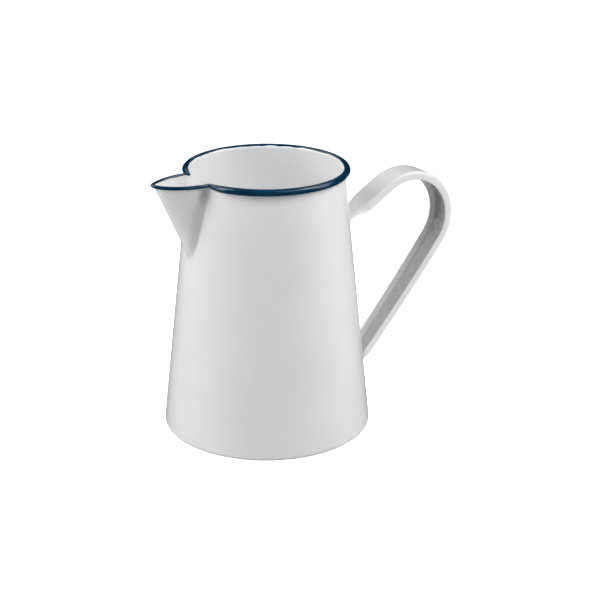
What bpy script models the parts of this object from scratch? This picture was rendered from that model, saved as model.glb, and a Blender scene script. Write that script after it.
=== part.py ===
"""Enamelled steel milk jug: tapering rolled body, folded pouring spout and a channel strap handle.

Metres, +Z up. The origin is the centre of the base's underside, on the axis of the body.
The spout points along -X and the handle along +X, so the jug is symmetric about the XZ plane.
Every piece is fixed to its neighbours by welding, so nothing here moves.
"""

import math

import bmesh
import bpy
from mathutils import Matrix, Vector

# Driving dimensions
HEIGHT = 0.180
BASE_RADIUS = 0.070
MOUTH_RADIUS = 0.0513
CORNER_RADIUS = 0.0025
SHEET = 0.0010
CLEARANCE = 0.0003
ROUND_STEPS = 72

# Rolled rim: the wall's top edge, curled outwards round a wire
ROLL_RADIUS = 0.00235
ROLL_SHEET = 0.0008
ROLL_END_RADIUS = 0.00125
ROLL_END_ANGLE = math.radians(18.2)
ROLL_TAPER_ANGLE = math.radians(15.2)
ROLL_STEPS = 68
ROLL_SECTION_STEPS = 8
ROLL_THINNEST_SHARE = 0.55
ROLL_MOUTH_GAP = 0.00054
RIM_WIRE_RADIUS = 0.00115
RIM_WIRE_STEPS = 60

# Base pan: a flat disc whose joggled flange stands inside the wall
PAN_SHOULDER = 0.0032
PAN_FLANGE_TOP = 0.0100
BASE_WELD_RADIUS = 0.0006
WELD_GAP = 0.00048

# Spout
SPOUT_HALF_WIDTH = 0.0141
SPOUT_REACH = 0.0818
SPOUT_LOW_HEIGHT = 0.1254
SPOUT_FOLD_RADIUS = 0.0020
SPOUT_WIDTH_POWER = 0.45
SPOUT_ROOT_ROUND = 0.009
KEEL_SETBACK = 0.0008
HEM_RADIUS = 0.0012
HEM_ROOT_HEIGHT = 0.1778
HEM_DIP = 0.0002
HEM_TIP_RISE = 0.0011
HEM_PULL = (-0.0675, 0.0160)
HEM_TIP_PULL = 0.0032
HEM_SEAT_GAP = 0.00039
HEM_STEPS = 16

# The spout's form in plan is a cubic curve: how far its root pulls, how much it swells, and how
# tight the keel's fold may be
SPOUT_ROOT_PULL = 0.57
SPOUT_SWELL = 1.12
SPOUT_FOLD_SHARE = 0.43
SPOUT_WIDEST_FOLD = 0.7
SPOUT_LEAST_FOLD = 0.0002
SPOUT_LEAST_DEPTH = 0.0004
SPOUT_ROOM_PAST_ROOT = (0.008, 0.003)
SPOUT_ROOM_ABOVE = 0.008
SPOUT_LOWEST_LEVEL = -0.03

# The spout's inside form is inset by this many sheets, more at the keel and less at its fold
INSIDE_INSET = 1.06
INSET_AT_KEEL = 1.1
INSET_AT_FOLD = 0.4
SPOUT_LEVELS = 12
SPOUT_CURVE_STEPS = 12
KEEL_SHARE = 0.97
SPOUT_WELD_RADIUS = 0.0006
SPOUT_WELD_TOP_LEVEL = 0.965
SPOUT_WELD_DROP = 0.0023

# Handle: the path is that of the strap's convex face, in the XZ plane
BOW_CENTRE = Vector((0.1085, 0.1277))
BOW_RADIUS = 0.0344
UPPER_LEG_ANGLE = math.radians(33.6)
LOWER_LEG_ANGLE = math.radians(51.5)
LOWER_LEG_BOW = 0.0010
STRAP_WIDTH = 0.0200
LOWER_STRAP_WIDTH = 0.0176
STRAP_TAPER_HEIGHTS = (0.030, 0.105)
FLANGE_DEPTH = 0.0058
STRAP_CORNER = 0.0022
UPPER_FOOT_END = 0.1135
LOWER_FOOT_END = 0.0095
UPPER_FOOT_BEND = 0.0070
LOWER_FOOT_BEND = 0.0100
UPPER_RUN_OUT = 0.0160
LOWER_RUN_OUT = 0.0100
FOOT_ROUNDING = 0.0060
FOOT_END_WIDTH = 0.45
FOOT_WRAP_RUN = 0.0060
FOOT_STEPS = 5
BEND_STEPS = 5
CORNER_STEPS = 4
LEAST_LIP = 0.0002

# Spot welds that hold the handle's feet
SPOT_RADIUS = 0.0018
SPOT_SPACING = 0.0100
UPPER_SPOT_HEIGHT = 0.1205
LOWER_SPOT_HEIGHT = 0.0162
SEAM_WIDTH = 0.0010

# Heights and radii that follow from those
ROLL_HEIGHT = HEIGHT - ROLL_RADIUS
WALL_TOP = ROLL_HEIGHT - CLEARANCE
WALL_BOTTOM = PAN_SHOULDER + CLEARANCE
WALL_SLOPE = (BASE_RADIUS - MOUTH_RADIUS) / (ROLL_HEIGHT - CORNER_RADIUS)
WALL_LEAN = math.atan(WALL_SLOPE)
HEM_SEAT = HEM_ROOT_HEIGHT - HEM_DIP - HEM_RADIUS - CLEARANCE

WHITE = ("white_enamel", (0.80, 0.80, 0.81), 0.18, 0.0)
BLUE = ("blue_enamel", (0.012, 0.05, 0.115), 0.15, 0.0)
STEEL = ("bare_steel", (0.45, 0.45, 0.46), 0.40, 1.0)


def wall_radius(height):
    """Outside radius of the tapering wall at a height."""
    return BASE_RADIUS - WALL_SLOPE * (height - CORNER_RADIUS)


# Scene helpers


def clear_scene():
    for item in list(bpy.data.objects):
        bpy.data.objects.remove(item, do_unlink=True)


def new_collection(name):
    collection = bpy.data.collections.new(name)
    bpy.context.scene.collection.children.link(collection)
    return collection


def finish_material(finish):
    name, colour, roughness, metallic = finish
    made = bpy.data.materials.get(name)
    if made:
        return made
    material = bpy.data.materials.new(name)
    material.use_nodes = True
    shader = material.node_tree.nodes["Principled BSDF"]
    shader.inputs["Base Color"].default_value = (*colour, 1.0)
    shader.inputs["Roughness"].default_value = roughness
    shader.inputs["Metallic"].default_value = metallic
    material.diffuse_color = (*colour, 1.0)
    return material


def add_part(name, data, finish):
    """Link a mesh or a curve as a finished part."""
    part = bpy.data.objects.new(name, data)
    data.materials.append(finish_material(finish))
    PARTS.objects.link(part)
    return part


def add_cutter(name, mesh):
    """Link a mesh that only cuts other parts."""
    cutter = bpy.data.objects.new(name, mesh)
    cutter.hide_render = True
    cutter.display_type = "WIRE"
    CUTTERS.objects.link(cutter)
    return cutter


def subtract(part, cutter):
    cut = part.modifiers.new("cut_" + cutter.name, "BOOLEAN")
    cut.operation = "DIFFERENCE"
    cut.solver = "EXACT"
    cut.object = cutter


def mesh_from_bmesh(name, bm):
    bmesh.ops.recalc_face_normals(bm, faces=bm.faces)
    mesh = bpy.data.meshes.new(name)
    bm.to_mesh(mesh)
    bm.free()
    mesh.shade_smooth()
    mesh.set_sharp_from_angle(angle=math.radians(35))
    return mesh


# Shape helpers


def outline_mesh(name, outline, closed):
    """Edges through (radius, height) points, on the +X side of the axis."""
    count = len(outline)
    edges = [(i, i + 1) for i in range(count - 1)]
    if closed:
        edges.append((count - 1, 0))
    mesh = bpy.data.meshes.new(name)
    mesh.from_pydata([(radius, 0.0, height) for radius, height in outline], edges, [])
    return mesh


def turn(item):
    """Turn an outline about the Z axis."""
    screw = item.modifiers.new("turn", "SCREW")
    screw.axis = "Z"
    screw.angle = math.tau
    screw.steps = ROUND_STEPS
    screw.render_steps = ROUND_STEPS
    screw.use_merge_vertices = True
    screw.merge_threshold = 0.00001
    screw.use_smooth_shade = True


def loft_mesh(name, sections):
    """A closed body through sections, each a list of pairs of points on its two sides."""
    bm = bmesh.new()
    rings = [[(bm.verts.new(a), bm.verts.new(b)) for a, b in section] for section in sections]
    for low, high in zip(rings, rings[1:]):
        for side in (0, 1):
            for i in range(len(low) - 1):
                bm.faces.new((low[i][side], low[i + 1][side], high[i + 1][side], high[i][side]))
        for end in (0, -1):
            bm.faces.new((low[end][0], low[end][1], high[end][1], high[end][0]))
    for ring in (rings[0], rings[-1]):
        for i in range(len(ring) - 1):
            bm.faces.new((ring[i][0], ring[i + 1][0], ring[i + 1][1], ring[i][1]))
    return mesh_from_bmesh(name, bm)


def cylinder_mesh(name, radius, length, steps):
    bm = bmesh.new()
    bmesh.ops.create_cone(
        bm, cap_ends=True, segments=steps, radius1=radius, radius2=radius, depth=length
    )
    return mesh_from_bmesh(name, bm)


def box_mesh(name, size):
    bm = bmesh.new()
    bmesh.ops.create_cube(bm, size=1.0)
    bmesh.ops.scale(bm, vec=size, verts=bm.verts)
    return mesh_from_bmesh(name, bm)


def tube_curve(name, points, radius, resolution):
    """A round bar through points, with closed ends."""
    curve = bpy.data.curves.new(name, "CURVE")
    curve.dimensions = "3D"
    curve.bevel_depth = radius
    curve.bevel_resolution = resolution
    curve.use_fill_caps = True
    spline = curve.splines.new("POLY")
    spline.points.add(len(points) - 1)
    for target, point in zip(spline.points, points):
        target.co = (*point, 1.0)
    spline.use_smooth = True
    return curve


def smooth_step(value):
    value = min(max(value, 0.0), 1.0)
    return value * value * (3.0 - 2.0 * value)


# Base pan


def pan_outline():
    """From the middle of the floor out, over the flange and down its outer side to the axis."""
    flange_outer = wall_radius(PAN_FLANGE_TOP) - SHEET - CLEARANCE
    flange_foot = wall_radius(PAN_SHOULDER) - SHEET - CLEARANCE
    outside = wall_radius(PAN_SHOULDER)
    corner = [
        (
            BASE_RADIUS - CORNER_RADIUS + CORNER_RADIUS * math.cos(angle),
            CORNER_RADIUS + CORNER_RADIUS * math.sin(angle),
        )
        for angle in (math.radians(-90 * step / 4) for step in range(5))
    ]
    return [
        (0.0, SHEET),
        (flange_foot - SHEET - CORNER_RADIUS, SHEET),
        (flange_foot - SHEET, SHEET + CORNER_RADIUS),
        (flange_outer - SHEET, PAN_FLANGE_TOP),
        (flange_outer, PAN_FLANGE_TOP),
        (flange_foot, PAN_SHOULDER),
        (outside, PAN_SHOULDER),
        *corner,
        (0.0, 0.0),
    ]


def make_base_pan():
    turn(add_part("base_pan", outline_mesh("base_pan", pan_outline(), False), WHITE))


def make_base_weld():
    """Fillet weld inside the jug, along the top of the pan's flange."""
    height = PAN_FLANGE_TOP + CLEARANCE + BASE_WELD_RADIUS
    ring_radius = wall_radius(height) - SHEET - WELD_GAP - BASE_WELD_RADIUS
    outline = []
    for step in range(6):
        angle = -math.tau * step / 6
        outline.append(
            (
                ring_radius + BASE_WELD_RADIUS * math.cos(angle),
                height + BASE_WELD_RADIUS * math.sin(angle),
            )
        )
    turn(add_part("base_seam_weld", outline_mesh("base_seam_weld", outline, True), STEEL))


# Spout


def cubic(start, first, second, end, t):
    """Point of a cubic curve at t from 0 to 1."""
    r = 1.0 - t
    return r**3 * start + 3 * r * r * t * first + 3 * r * t * t * second + t**3 * end


def spout_level_height(level):
    """Height of a spout level at its root: 0 at the foot of the keel, 1 under the hem."""
    return SPOUT_LOW_HEIGHT + level * (HEM_SEAT - SPOUT_LOW_HEIGHT)


def spout_root(level):
    """Where the spout's outside meets the wall's outside, on the +Y side."""
    height = spout_level_height(level)
    spread = (max(level, 0.0) + SPOUT_ROOT_ROUND) / (1.0 + SPOUT_ROOT_ROUND)
    half_width = SPOUT_HALF_WIDTH * spread**SPOUT_WIDTH_POWER
    return Vector((-math.sqrt(wall_radius(height) ** 2 - half_width**2), half_width, height))


def keel_distance(level):
    """Distance from the axis to the outside of the keel."""
    low = wall_radius(SPOUT_LOW_HEIGHT)
    return low + level * (SPOUT_REACH - KEEL_SETBACK - low)


def hem_height(t):
    """Height of the hem's centre line: level at the root, a slight dip, then up to the tip."""
    dip = HEM_ROOT_HEIGHT - HEM_DIP
    return cubic(HEM_ROOT_HEIGHT, HEM_ROOT_HEIGHT, dip, HEM_ROOT_HEIGHT + HEM_TIP_RISE, t)


def spout_half_curve(level, inset):
    """Plan outline of the spout at a level, from inside the wall to the keel, inset from its outside."""
    root = spout_root(level)
    half_width = root.y - inset
    depth = max(keel_distance(level) - INSET_AT_KEEL * inset + root.x, SPOUT_LEAST_DEPTH)
    fold = math.sqrt(2 * SPOUT_FOLD_RADIUS * SPOUT_FOLD_SHARE * depth / 3) - INSET_AT_FOLD * inset
    fold = min(max(fold, SPOUT_LEAST_FOLD), half_width * SPOUT_WIDEST_FOLD)
    pulled = root.x - SPOUT_ROOT_PULL * depth
    points = [Vector((root.x + room, half_width)) for room in SPOUT_ROOM_PAST_ROOT]
    for step in range(SPOUT_CURVE_STEPS + 1):
        t = KEEL_SHARE * step / SPOUT_CURVE_STEPS
        points.append(
            Vector(
                (
                    cubic(root.x, pulled, root.x - depth, root.x - depth, t),
                    cubic(half_width, half_width * SPOUT_SWELL, fold, 0.0, t),
                )
            )
        )
    return points


def spout_sections(inset):
    """Sections of the spout's form, inset from its outside, from below the keel's foot to its top."""
    sections = []
    levels = [(step / SPOUT_LEVELS) ** 2 for step in range(SPOUT_LEVELS + 1)]
    levels.insert(0, SPOUT_LOWEST_LEVEL)
    for level in levels:
        section = []
        for i, point in enumerate(spout_half_curve(level, inset)):
            t = KEEL_SHARE * max(i - len(SPOUT_ROOM_PAST_ROOT), 0) / SPOUT_CURVE_STEPS
            top = hem_height(t) - HEM_RADIUS - CLEARANCE
            height = SPOUT_LOW_HEIGHT + level * (top - SPOUT_LOW_HEIGHT)
            section.append(
                (Vector((point.x, point.y, height)), Vector((point.x, -point.y, height)))
            )
        sections.append(section)
    return sections


def spout_inside_sections():
    """The room inside the spout, carried on past its top."""
    sections = spout_sections(SHEET * INSIDE_INSET)
    lift = Vector((0.0, 0.0, SPOUT_ROOM_ABOVE))
    return sections + [[(a + lift, b + lift) for a, b in sections[-1]]]


def make_spout(spout_inside):
    shell = add_part("spout_shell", loft_mesh("spout_shell", spout_sections(0.0)), WHITE)
    low, high = 0.110, 0.190
    outline = [
        (0.0, high),
        (wall_radius(high) + CLEARANCE, high),
        (wall_radius(low) + CLEARANCE, low),
        (0.0, low),
    ]
    wall_form = add_cutter("wall_form", outline_mesh("wall_form", outline, False))
    turn(wall_form)
    subtract(shell, spout_inside)
    subtract(shell, wall_form)


def make_spout_hem():
    """Rolled blue hem from one side of the mouth, round the tip, to the other side."""
    root_y = SPOUT_HALF_WIDTH
    root_x = -math.sqrt((MOUTH_RADIUS - SHEET) ** 2 - root_y**2)
    half = []
    for step in range(HEM_STEPS + 1):
        t = step / HEM_STEPS
        half.append(
            Vector(
                (
                    cubic(root_x, HEM_PULL[0], -SPOUT_REACH, -SPOUT_REACH, t),
                    cubic(root_y, HEM_PULL[1], HEM_TIP_PULL, 0.0, t),
                    hem_height(t),
                )
            )
        )
    mirrored = [Vector((p.x, -p.y, p.z)) for p in reversed(half[:-1])]
    add_part("spout_hem", tube_curve("spout_hem", half + mirrored, HEM_RADIUS, 2), BLUE)


def make_spout_weld():
    """Fillet weld down one side of the spout, under the keel and up the other side."""
    side_step = SPOUT_WELD_RADIUS + WELD_GAP
    half = []
    for step in range(SPOUT_LEVELS + 1):
        level = SPOUT_WELD_TOP_LEVEL * (1.0 - step / SPOUT_LEVELS) ** 2
        half.append(spout_root(level) + Vector((-side_step, side_step, 0.0)))
    low = SPOUT_LOW_HEIGHT - SPOUT_WELD_DROP
    bottom = Vector((-wall_radius(low) - side_step, 0.0, low))
    mirrored = [Vector((p.x, -p.y, p.z)) for p in reversed(half)]
    points = half + [bottom] + mirrored
    add_part("spout_seam_weld", tube_curve("spout_seam_weld", points, SPOUT_WELD_RADIUS, 1), STEEL)


# Rolled rim


def roll_radius_at(angle_to_spout):
    """Radius of the roll, which is squeezed thin where it meets the spout."""
    share = smooth_step((angle_to_spout - ROLL_END_ANGLE) / ROLL_TAPER_ANGLE)
    return ROLL_END_RADIUS + (ROLL_RADIUS - ROLL_END_RADIUS) * share


def make_rim_roll():
    """The curled edge: a C section that starts over the wall and ends short of its outside."""
    inside_line = MOUTH_RADIUS - SHEET
    sections = []
    for step in range(ROLL_STEPS + 1):
        azimuth = -math.pi + ROLL_END_ANGLE + step * (math.tau - 2 * ROLL_END_ANGLE) / ROLL_STEPS
        radius = roll_radius_at(math.pi - abs(azimuth))
        inner_radius = radius - min(ROLL_SHEET, ROLL_THINNEST_SHARE * radius)
        open_angle = -math.acos((SHEET + ROLL_MOUTH_GAP) / radius - 1.0)
        outward = Vector((math.cos(azimuth), math.sin(azimuth), 0.0))
        centre = outward * (inside_line + radius) + Vector((0.0, 0.0, ROLL_HEIGHT))
        section = []
        for part in range(ROLL_SECTION_STEPS + 1):
            angle = math.pi + (open_angle - math.pi) * part / ROLL_SECTION_STEPS
            spoke = outward * math.cos(angle) + Vector((0.0, 0.0, math.sin(angle)))
            section.append((centre + spoke * radius, centre + spoke * inner_radius))
        sections.append(section)
    add_part("rim_roll", loft_mesh("rim_roll", sections), BLUE)


def make_rim_wire():
    """Steel wire inside the roll; it stops where the roll starts to narrow."""
    reach = math.pi - ROLL_END_ANGLE - ROLL_TAPER_ANGLE
    radius = MOUTH_RADIUS - SHEET + ROLL_RADIUS
    points = []
    for step in range(RIM_WIRE_STEPS + 1):
        azimuth = -reach + 2 * reach * step / RIM_WIRE_STEPS
        points.append((radius * math.cos(azimuth), radius * math.sin(azimuth), ROLL_HEIGHT))
    add_part("rim_wire", tube_curve("rim_wire", points, RIM_WIRE_RADIUS, 1), STEEL)


# Body wall


def make_body_wall(spout_inside, spot_cutters):
    outline = [
        (wall_radius(WALL_TOP), WALL_TOP),
        (wall_radius(WALL_BOTTOM), WALL_BOTTOM),
        (wall_radius(WALL_BOTTOM) - SHEET, WALL_BOTTOM),
        (wall_radius(WALL_TOP) - SHEET, WALL_TOP),
    ]
    wall = add_part("body_wall", outline_mesh("body_wall", outline, True), WHITE)
    turn(wall)

    slot = add_cutter("seam_slot", box_mesh("seam_slot", (0.04, SEAM_WIDTH + 2 * CLEARANCE, 0.3)))
    slot.location = (BASE_RADIUS - 0.01, 0.0, HEIGHT / 2)

    seat_half_width = SPOUT_HALF_WIDTH + HEM_RADIUS + HEM_SEAT_GAP
    seat = add_cutter("hem_seat", box_mesh("hem_seat", (0.03, 2 * seat_half_width, 0.02)))
    seat.location = (-MOUTH_RADIUS, 0.0, HEM_SEAT + 0.01)

    for cutter in (spout_inside, slot, seat, *spot_cutters):
        subtract(wall, cutter)


def make_side_seam():
    """Butt weld that closes the rolled wall, behind the handle."""
    low, high = WALL_BOTTOM, WALL_TOP
    half = SEAM_WIDTH / 2
    sections = []
    for height in (low, high):
        outer = wall_radius(height)
        sections.append(
            [
                (Vector((outer - SHEET, -half, height)), Vector((outer, -half, height))),
                (Vector((outer - SHEET, half, height)), Vector((outer, half, height))),
            ]
        )
    add_part("side_seam_weld", loft_mesh("side_seam_weld", sections), STEEL)


# Handle strap


def wall_line(height, offset):
    """Point beside the wall on the handle's side, as (x, z)."""
    return Vector((wall_radius(height), height)) + offset * WALL_NORMAL


def meet(point_a, along_a, point_b, along_b):
    """Where two lines in the XZ plane cross."""
    gap = point_b - point_a
    share = (gap.x * along_b.y - gap.y * along_b.x) / (along_a.x * along_b.y - along_a.y * along_b.x)
    return point_a + along_a * share


def rounded_corner(before, corner, after, radius, steps):
    """Points of the arc that rounds a corner of a path."""
    back = (before - corner).normalized()
    ahead = (after - corner).normalized()
    half_angle = back.angle(ahead) / 2
    centre = corner + (back + ahead).normalized() * radius / math.sin(half_angle)
    start = corner + back * radius / math.tan(half_angle) - centre
    end = corner + ahead * radius / math.tan(half_angle) - centre
    points = []
    for step in range(steps + 1):
        share = step / steps
        turn_angle = start.angle(end)
        weight_a = math.sin((1 - share) * turn_angle) / math.sin(turn_angle)
        weight_b = math.sin(share * turn_angle) / math.sin(turn_angle)
        points.append(centre + start * weight_a + end * weight_b)
    return points


def straight_run(start, end, steps, bow=0.0):
    """Points between two others, without the ends, bowed to the left of the way."""
    way = end - start
    side = Vector((-way.y, way.x)).normalized()
    shares = [step / steps for step in range(1, steps)]
    return [start.lerp(end, share) + side * 4 * bow * share * (1 - share) for share in shares]


def strap_width_at(height):
    """The strap is at its widest over the bow and narrows down the lower leg."""
    low, high = STRAP_TAPER_HEIGHTS
    share = min(max((height - low) / (high - low), 0.0), 1.0)
    return LOWER_STRAP_WIDTH + (STRAP_WIDTH - LOWER_STRAP_WIDTH) * share


def strap_path():
    """The convex face's path from the upper foot's end, round the bow, to the lower foot's end."""
    upper_along = Vector((math.cos(UPPER_LEG_ANGLE), math.sin(UPPER_LEG_ANGLE)))
    lower_along = Vector((-math.cos(LOWER_LEG_ANGLE), -math.sin(LOWER_LEG_ANGLE)))
    bow_start = BOW_CENTRE + BOW_RADIUS * Vector((-upper_along.y, upper_along.x))
    bow_end = BOW_CENTRE + BOW_RADIUS * Vector((-lower_along.y, lower_along.x))

    upper_foot = wall_line(UPPER_FOOT_END, CLEARANCE)
    lower_foot = wall_line(LOWER_FOOT_END, CLEARANCE + SHEET)
    upper_corner = meet(upper_foot, WALL_ALONG, bow_start, upper_along)
    lower_corner = meet(lower_foot, WALL_ALONG, bow_end, lower_along)
    upper_bend = rounded_corner(upper_foot, upper_corner, bow_start, UPPER_FOOT_BEND, BEND_STEPS)
    lower_bend = rounded_corner(bow_end, lower_corner, lower_foot, LOWER_FOOT_BEND, BEND_STEPS)

    first_angle = UPPER_LEG_ANGLE + math.pi / 2
    last_angle = math.pi / 2 - (math.pi - LOWER_LEG_ANGLE)
    bow = []
    for step in range(17):
        angle = first_angle + (last_angle - first_angle) * step / 16
        bow.append(BOW_CENTRE + BOW_RADIUS * Vector((math.cos(angle), math.sin(angle))))

    path = [upper_foot, *straight_run(upper_foot, upper_bend[0], FOOT_STEPS), *upper_bend]
    path += [*straight_run(upper_bend[-1], bow[0], 7), *bow]
    path += [*straight_run(bow[-1], lower_bend[0], 11, LOWER_LEG_BOW), *lower_bend]
    path += [*straight_run(lower_bend[-1], lower_foot, FOOT_STEPS), lower_foot]
    return path


def strap_half_section(width, flange, wrap, width_scale):
    """(across, depth, slope) points of half the strap's convex face, middle to lip.

    flange is 1 where the edges are turned in to a full channel and 0 where the strap is flat.
    wrap bends the flat strap round the wall: positive towards the strap's concave side.
    """
    fold = flange * math.pi / 2
    corner_step = STRAP_CORNER * math.pi / 2 / CORNER_STEPS
    lip = (FLANGE_DEPTH - STRAP_CORNER) * flange + LEAST_LIP
    slopes = [fold * (step + 0.5) / CORNER_STEPS for step in range(CORNER_STEPS)]
    turned_width = sum(corner_step * math.cos(slope) for slope in slopes) + lip * math.cos(fold)
    flat = width / 2 - turned_width
    points = [(0.0, 0.0, 0.0), (flat / 2, 0.0, 0.0), (flat, 0.0, 0.0)]
    across, depth = flat, 0.0
    for step, slope in enumerate(slopes):
        across += corner_step * math.cos(slope)
        depth += corner_step * math.sin(slope)
        points.append((across, depth, fold * (step + 1) / CORNER_STEPS))
    points.append((across + lip * math.cos(fold), depth + lip * math.sin(fold), fold))
    bent = []
    for across, depth, slope in points:
        across *= width_scale
        depth += wrap * across * across / 2
        bent.append((across, depth, slope + math.atan(wrap * across)))
    return bent


def strap_sections():
    """Sections of the strap: flat feet wrapped on the wall, and a channel between their bends."""
    path = strap_path()
    lengths = [0.0]
    for a, b in zip(path, path[1:]):
        lengths.append(lengths[-1] + (b - a).length)
    upper_turn = lengths[FOOT_STEPS + BEND_STEPS]
    lower_turn = lengths[-1 - FOOT_STEPS - BEND_STEPS]
    sections = []
    for i, point in enumerate(path):
        along = (path[min(i + 1, len(path) - 1)] - path[max(i - 1, 0)]).normalized()
        inward = Vector((along.y, -along.x))
        past_upper = lengths[i] - upper_turn
        past_lower = lower_turn - lengths[i]
        nearest = min(past_upper, past_lower)
        run_out = UPPER_RUN_OUT if past_upper < past_lower else LOWER_RUN_OUT
        flange = min(max(nearest / run_out, 0.0), 1.0)
        curvature = 1.0 / wall_radius(point.y)
        wrap = curvature * (1.0 - smooth_step((nearest + FOOT_WRAP_RUN) / FOOT_WRAP_RUN))
        if past_upper < past_lower:
            wrap = -wrap
        end_distance = min(lengths[i], lengths[-1] - lengths[i])
        short = 1.0 - min(end_distance / FOOT_ROUNDING, 1.0)
        width_scale = FOOT_END_WIDTH + (1.0 - FOOT_END_WIDTH) * math.sqrt(1.0 - short * short)
        half = strap_half_section(strap_width_at(point.y), flange, wrap, width_scale)
        full = [(-a, d, -s) for a, d, s in reversed(half[1:])] + half
        section = []
        for across, depth, slope in full:
            convex = strap_point(point, inward, across, depth)
            inner_across = across - SHEET * math.sin(slope)
            inner_depth = depth + SHEET * math.cos(slope)
            section.append((convex, strap_point(point, inward, inner_across, inner_depth)))
        sections.append(section)
    return sections


def strap_point(point, inward, across, depth):
    spot = point + inward * depth
    return Vector((spot.x, across, spot.y))


def make_handle_strap(spot_cutters):
    strap = add_part("handle_strap", loft_mesh("handle_strap", strap_sections()), WHITE)
    for cutter in spot_cutters:
        subtract(strap, cutter)


# Spot welds


def spot_places():
    """Name and matrix of each spot weld, with its Z axis along the wall's normal."""
    places = []
    for level, height in (("upper", UPPER_SPOT_HEIGHT), ("lower", LOWER_SPOT_HEIGHT)):
        for side, sign in (("left", -1), ("right", 1)):
            across = sign * SPOT_SPACING / 2
            azimuth = math.asin(across / wall_radius(height))
            tilt = Matrix.Rotation(azimuth, 4, "Z") @ Matrix.Rotation(math.pi / 2 - WALL_LEAN, 4, "Y")
            surface = Vector((wall_radius(height) * math.cos(azimuth), across, height))
            places.append((f"handle_{level}_spot_weld_{side}", Matrix.Translation(surface) @ tilt))
    return places


def make_spot_cutters():
    cutters = []
    for name, matrix in spot_places():
        cutter = add_cutter(
            name + "_hole", cylinder_mesh(name + "_hole", SPOT_RADIUS + CLEARANCE, 0.009, 12)
        )
        cutter.matrix_world = matrix
        cutters.append(cutter)
    return cutters


def make_spot_welds():
    """Nuggets that reach from the wall's inside to the foot's outside."""
    length = 2 * SHEET + CLEARANCE
    for name, matrix in spot_places():
        nugget = add_part(name, cylinder_mesh(name, SPOT_RADIUS, length, 12), STEEL)
        nugget.matrix_world = matrix @ Matrix.Translation((0.0, 0.0, length / 2 - SHEET))


WALL_NORMAL = Vector((math.cos(WALL_LEAN), math.sin(WALL_LEAN)))
WALL_ALONG = Vector((math.sin(WALL_LEAN), -math.cos(WALL_LEAN)))

clear_scene()
PARTS = new_collection("milk_jug")
CUTTERS = new_collection("cutters")

spout_inside_cutter = add_cutter("spout_inside", loft_mesh("spout_inside", spout_inside_sections()))
spot_hole_cutters = make_spot_cutters()

make_base_pan()
make_base_weld()
make_body_wall(spout_inside_cutter, spot_hole_cutters)
make_side_seam()
make_rim_roll()
make_rim_wire()
make_spout(spout_inside_cutter)
make_spout_hem()
make_spout_weld()
make_handle_strap(spot_hole_cutters)
make_spot_welds()
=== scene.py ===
"""Looks for an enamelled milk jug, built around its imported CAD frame.

Metres, +Z up, origin at the centre of the base. The spout points along -X and the handle along +X.
The enamel is one glassy coat over the sheet steel, so each piece here is the coated sheet of the
CAD node that it stands for, with the welds melted into soft fillets.
"""

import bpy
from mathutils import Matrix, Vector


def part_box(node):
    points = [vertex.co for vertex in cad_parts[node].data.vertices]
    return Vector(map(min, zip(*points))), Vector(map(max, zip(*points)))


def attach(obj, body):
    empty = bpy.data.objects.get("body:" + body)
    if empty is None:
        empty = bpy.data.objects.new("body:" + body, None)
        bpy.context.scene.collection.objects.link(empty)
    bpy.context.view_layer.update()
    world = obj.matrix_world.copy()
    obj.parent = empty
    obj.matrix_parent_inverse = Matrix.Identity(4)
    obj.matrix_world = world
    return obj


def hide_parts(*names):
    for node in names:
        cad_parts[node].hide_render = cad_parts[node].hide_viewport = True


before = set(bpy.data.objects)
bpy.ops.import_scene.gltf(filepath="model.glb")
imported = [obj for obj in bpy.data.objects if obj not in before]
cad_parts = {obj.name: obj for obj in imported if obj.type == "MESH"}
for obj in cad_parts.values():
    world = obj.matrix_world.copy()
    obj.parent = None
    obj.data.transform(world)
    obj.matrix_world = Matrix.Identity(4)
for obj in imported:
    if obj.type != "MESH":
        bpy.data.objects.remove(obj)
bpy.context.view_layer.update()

import math

import bmesh
import bpy
import numpy as np
from mathutils import Matrix, Vector

# Driving dimensions of the body and the rim, as in the CAD
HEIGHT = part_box("rim_roll")[1].z
BASE_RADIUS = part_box("base_pan")[1].y
MOUTH_RADIUS = 0.0513
CORNER_RADIUS = 0.0025
SHEET = 0.0010
ROLL_RADIUS = 0.00235
ROLL_SHEET = 0.0008
ROLL_TAPER_ANGLE = math.radians(15.2)
ROLL_HEIGHT = HEIGHT - ROLL_RADIUS
WALL_SLOPE = (BASE_RADIUS - MOUTH_RADIUS) / (ROLL_HEIGHT - CORNER_RADIUS)
WALL_LEAN = math.atan(WALL_SLOPE)
WALL_NORMAL = np.array((math.cos(WALL_LEAN), math.sin(WALL_LEAN)))
WALL_ALONG = np.array((math.sin(WALL_LEAN), -math.cos(WALL_LEAN)))

# Base pan: levels are heights, and insets are measured inwards from the wall's inner face
PAN_JOINT = 0.0033
PAN_RINGS = (0.020, 0.045)
PAN_INNER_CORNER = 0.0040
PAN_INNER_INSET = 0.0029
PAN_INSIDE_LEVEL = 0.0120
PAN_WELD_LEVEL = 0.0095
PAN_WELD_RADIUS = 0.0006
PAN_WELD_INSET = 0.0007
PAN_WELD_FOOT_LEVEL = 0.0085
PAN_WELD_FOOT_INSET = 0.00105
PAN_WELD_TOP_LEVEL = 0.0112
PAN_WELD_SINK = 0.0004
PAN_STEPS = 192

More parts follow.
